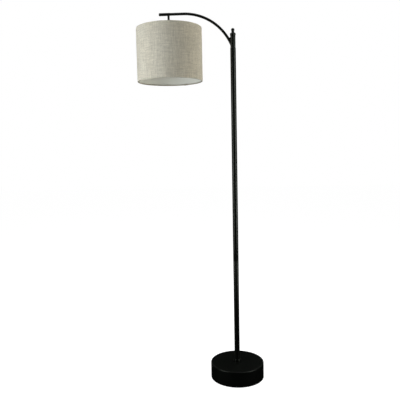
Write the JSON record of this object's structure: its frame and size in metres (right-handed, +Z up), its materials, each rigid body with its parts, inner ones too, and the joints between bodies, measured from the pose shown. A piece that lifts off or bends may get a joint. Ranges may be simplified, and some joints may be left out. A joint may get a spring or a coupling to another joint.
{
  "type": "bridge floor lamp",
  "caption": "Floor lamp with a round weighted base, a straight pole and a bent bridge arm that swings about the pole and carries a drum shade.",
  "frame": {"origin": "on the floor, under the middle of the base", "axes": "+Z up along the pole; the arm reaches out along -X; +Y to the rear, where the cord inlet is"},
  "size_m": [0.568, 0.3, 1.7209],
  "materials": {
    "black_paint": "semi-gloss black powder coat",
    "zinc_steel": "zinc-plated steel",
    "cast_iron": "raw casting",
    "black_plastic": "moulded phenolic",
    "brass": "plain brass",
    "ceramic": "glazed insulator",
    "lead_jacket": "flexible lead jacket",
    "soft_pad": "foamed pad",
    "linen": "slubbed natural linen weave",
    "shade_lining": "matt white lining",
    "aluminium": "rolled bulb cap",
    "frosted_glass": "frosted glass"
  },
  "bodies": {
    "stand": {"foot_pad": "soft_pad", "base_plate": "zinc_steel", "plate_screws": "zinc_steel", "base_weight": "cast_iron", "clamp_tube": "zinc_steel", "base_shell": "black_paint", "base_stem": "zinc_steel", "stem_washer": "zinc_steel", "stem_nut": "zinc_steel", "cord_inlet": "black_plastic", "inlet_nut": "black_plastic", "terminal_block": "ceramic", "pole_collar": "black_paint", "lower_pole": "black_paint", "middle_pole": "black_paint", "upper_pole": "black_paint", "pole_inserts": "zinc_steel", "pole_studs": "zinc_steel", "pole_lead": "lead_jacket", "swivel_spindle": "zinc_steel", "stop_pin": "zinc_steel", "swivel_washer": "black_plastic", "spring_washer": "zinc_steel", "spindle_nut": "zinc_steel"},
    "arm": {"head_tube": "black_paint", "swivel_bush": "brass", "head_cap": "black_paint", "finial": "black_paint", "arm_tube": "black_paint", "weld_beads": "black_paint", "end_sleeve": "black_paint", "drop_tube": "black_paint", "drop_nuts": "zinc_steel", "arm_lead": "lead_jacket", "holder_cap": "black_plastic", "holder_body": "black_plastic", "holder_insert": "ceramic", "screw_shell": "brass", "centre_contact": "brass", "shade_ring_nut": "black_plastic", "shade_spider": "zinc_steel", "bottom_ring": "zinc_steel", "shade_liner": "shade_lining", "shade_fabric": "linen", "bulb_cap": "aluminium", "bulb_globe": "frosted_glass", "switch_block": "ceramic"},
    "switch": {"switch_rotor": "black_plastic", "switch_key": "black_plastic"}
  },
  "joints": [
    {"name": "arm_swivel", "type": "hinge", "parent": "stand", "child": "arm", "pos_m": [0, 0, 1.5575], "axis": [0, 0, 1], "range_deg": [-160, 160]},
    {"name": "switch_turn", "type": "hinge", "parent": "arm", "child": "switch", "pos_m": [-0.291, 0, 1.63333], "axis": [0, -1, 0], "continuous": true}
  ]
}
